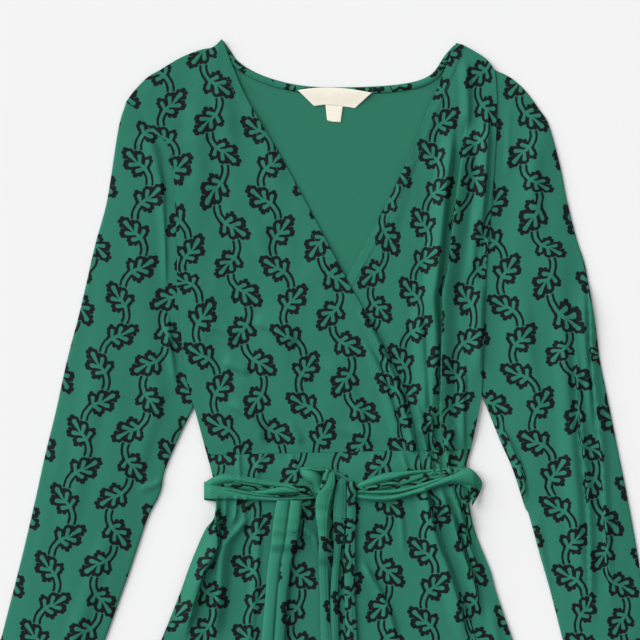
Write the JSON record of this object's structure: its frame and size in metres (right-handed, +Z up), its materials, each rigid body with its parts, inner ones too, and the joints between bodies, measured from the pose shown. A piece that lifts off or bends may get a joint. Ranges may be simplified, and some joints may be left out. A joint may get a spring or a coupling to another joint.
{
  "type": "wrap dress",
  "caption": "Long-sleeved V-neck jersey wrap dress laid flat, with a leafy vine print and a tie belt knotted at the waist.",
  "frame": {"origin": "middle of the underside's bounding box, on the surface that the dress lies on", "axes": "+Z up off the surface, +Y towards the neck, +X towards the sleeve on the right as it lies face up"},
  "size_m": [0.69, 1.13, 0.021],
  "materials": {
    "printed_jersey": "matt knit jersey, deep green with black leafy vines",
    "tie_jersey": "matt knit jersey, crushed into pleats",
    "label_tape": "cream woven tape, bare"
  },
  "bodies": {
    "root": {"back_bodice": "printed_jersey", "back_skirt": "printed_jersey", "front_bodice_under": "printed_jersey", "front_bodice_over": "printed_jersey", "front_skirt_under": "printed_jersey", "front_skirt_over": "printed_jersey", "sleeve_left": "printed_jersey", "sleeve_right": "printed_jersey", "back_neck_binding": "printed_jersey", "belt_back": "tie_jersey", "belt_band_left": "tie_jersey", "belt_band_right": "tie_jersey", "knot": "tie_jersey", "tie_loop": "tie_jersey", "tie_tail_left": "tie_jersey", "tie_tail_right": "tie_jersey", "label": "label_tape", "size_tab": "label_tape"}
  },
  "joints": []
}
